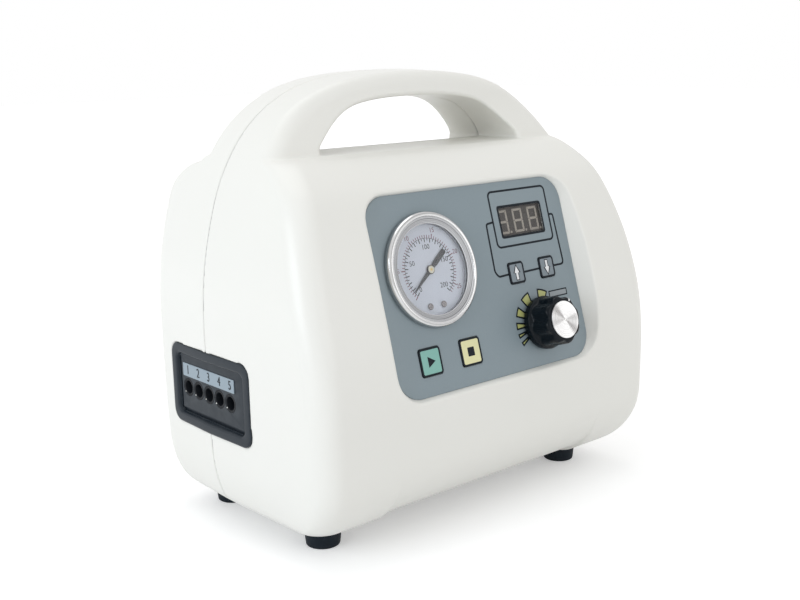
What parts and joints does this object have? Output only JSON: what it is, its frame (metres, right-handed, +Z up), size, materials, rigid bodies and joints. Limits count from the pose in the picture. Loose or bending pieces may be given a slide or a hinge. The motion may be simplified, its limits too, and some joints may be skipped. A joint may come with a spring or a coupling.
{
  "type": "compression therapy pump",
  "caption": "Portable air pump for compression therapy sleeves: moulded case with carry handle, tilted panel with pressure gauge, timer display, keys and knob, and side hose outlets.",
  "frame": {"origin": "centre of the bounding box in X and Y, on the plane that the feet rest on", "axes": "+Z up, the control panel faces -Y, +X to the right of someone who faces the panel; the hose outlets are on -X"},
  "size_m": [0.2692, 0.1804, 0.2558],
  "materials": {
    "shell_ivory": "fine satin moulded ABS, warm white",
    "panel_grey": "satin printed faceplate, blue grey",
    "window_smoke": "smoked acrylic pane",
    "led_dark": "dark LED module with pale segments",
    "board_green": "circuit board with parts",
    "key_grey": "satin key cap, grey",
    "key_green": "satin key cap, soft green",
    "key_yellow": "satin key cap, soft yellow",
    "gauge_black": "black painted gauge case",
    "bezel_chrome": "bright plated ring",
    "lens_clear": "clear flat lens",
    "dial_white": "printed off-white dial",
    "brass_works": "machined brass",
    "small_steel": "plated steel",
    "needle_black": "black lacquer",
    "knob_black": "satin black moulded plastic",
    "knob_silver": "spun aluminium disc",
    "regulator_metal": "cast and turned alloy",
    "socket_black": "satin black moulded plastic",
    "label_blue": "printed label, pale grey blue",
    "hose_clear": "translucent silicone hose",
    "valve_white": "natural nylon",
    "motor_steel": "drawn steel can",
    "pump_dark": "glass-filled nylon, dark grey",
    "core_steel": "laminated steel",
    "coil_copper": "taped copper winding",
    "foot_rubber": "moulded rubber, near black",
    "mount_rubber": "soft rubber block",
    "inlet_black": "moulded black plastic with metal pins",
    "rocker_black": "moulded black rocker"
  },
  "bodies": {
    "housing": {"front_shell": "shell_ivory", "rear_shell": "shell_ivory", "control_panel": "panel_grey", "display_window": "window_smoke", "led_display": "led_dark", "panel_board": "board_green", "power_module": "board_green", "gauge_case": "gauge_black", "gauge_bezel": "bezel_chrome", "gauge_lens": "lens_clear", "gauge_dial": "dial_white", "gauge_movement": "brass_works", "dial_screw_left": "small_steel", "dial_screw_right": "small_steel", "housing_screw_lower_left": "small_steel", "housing_screw_lower_right": "small_steel", "housing_screw_upper_left": "small_steel", "housing_screw_upper_right": "small_steel", "regulator_body": "regulator_metal", "socket_bezel": "socket_black", "outlet_plate": "socket_black", "outlet_manifold": "socket_black", "outlet_socket_1": "socket_black", "outlet_socket_2": "socket_black", "outlet_socket_3": "socket_black", "outlet_socket_4": "socket_black", "outlet_socket_5": "socket_black", "port_label": "label_blue", "outlet_hose_1": "hose_clear", "outlet_hose_2": "hose_clear", "outlet_hose_3": "hose_clear", "outlet_hose_4": "hose_clear", "outlet_hose_5": "hose_clear", "gauge_hose": "hose_clear", "regulator_hose": "hose_clear", "pump_hose": "hose_clear", "valve_body": "valve_white", "valve_motor": "motor_steel", "pump_case": "pump_dark", "pump_lid": "pump_dark", "pump_core": "core_steel", "pump_coil": "coil_copper", "pump_mount_left": "mount_rubber", "pump_mount_right": "mount_rubber", "foot_front_left": "foot_rubber", "foot_front_right": "foot_rubber", "foot_rear_left": "foot_rubber", "foot_rear_right": "foot_rubber", "power_inlet": "inlet_black"},
    "up_key": {"up_button": "key_grey"},
    "down_key": {"down_button": "key_grey"},
    "start_key": {"start_button": "key_green"},
    "stop_key": {"stop_button": "key_yellow"},
    "knob": {"knob_body": "knob_black", "knob_cap": "knob_silver", "regulator_shaft": "small_steel"},
    "needle": {"gauge_pointer": "needle_black"},
    "rocker": {"power_rocker": "rocker_black"},
    "armature": {"pump_armature": "small_steel"},
    "rotor": {"valve_rotor": "valve_white"}
  },
  "joints": [
    {"name": "up_press", "type": "slide", "parent": "housing", "child": "up_key", "axis": [0, 0.9607, -0.2777], "range_m": [0, 0.0005], "stiffness_N_per_m": 3000, "springref_m": -0.0003},
    {"name": "down_press", "type": "slide", "parent": "housing", "child": "down_key", "axis": [0, 0.9607, -0.2777], "range_m": [0, 0.0005], "stiffness_N_per_m": 3000, "springref_m": -0.0003},
    {"name": "start_press", "type": "slide", "parent": "housing", "child": "start_key", "axis": [0, 0.9607, -0.2777], "range_m": [0, 0.0005], "stiffness_N_per_m": 3000, "springref_m": -0.0003},
    {"name": "stop_press", "type": "slide", "parent": "housing", "child": "stop_key", "axis": [0, 0.9607, -0.2777], "range_m": [0, 0.0005], "stiffness_N_per_m": 3000, "springref_m": -0.0003},
    {"name": "knob_turn", "type": "hinge", "parent": "housing", "child": "knob", "pos_m": [0.03891, -0.0681, 0.10821], "axis": [0, 0.9607, -0.2777], "range_deg": [-170, 100]},
    {"name": "needle_turn", "type": "hinge", "parent": "housing", "child": "needle", "pos_m": [-0.03849, -0.05622, 0.14933], "axis": [0, 0.9607, -0.2777], "range_deg": [0, 267], "stiffness_Nm_per_rad": 0.0001},
    {"name": "rocker_tilt", "type": "hinge", "parent": "housing", "child": "rocker", "pos_m": [0.03601, 0.08415, 0.042], "axis": [1, 0, 0], "range_deg": [-14, 0]},
    {"name": "armature_slide", "type": "slide", "parent": "housing", "child": "armature", "axis": [1, 0, 0], "range_m": [-0.001, 0.001], "stiffness_N_per_m": 400},
    {"name": "rotor_turn", "type": "hinge", "parent": "housing", "child": "rotor", "pos_m": [-0.06199, 0.02905, 0.045], "axis": [0, 0, 1], "continuous": true}
  ]
}
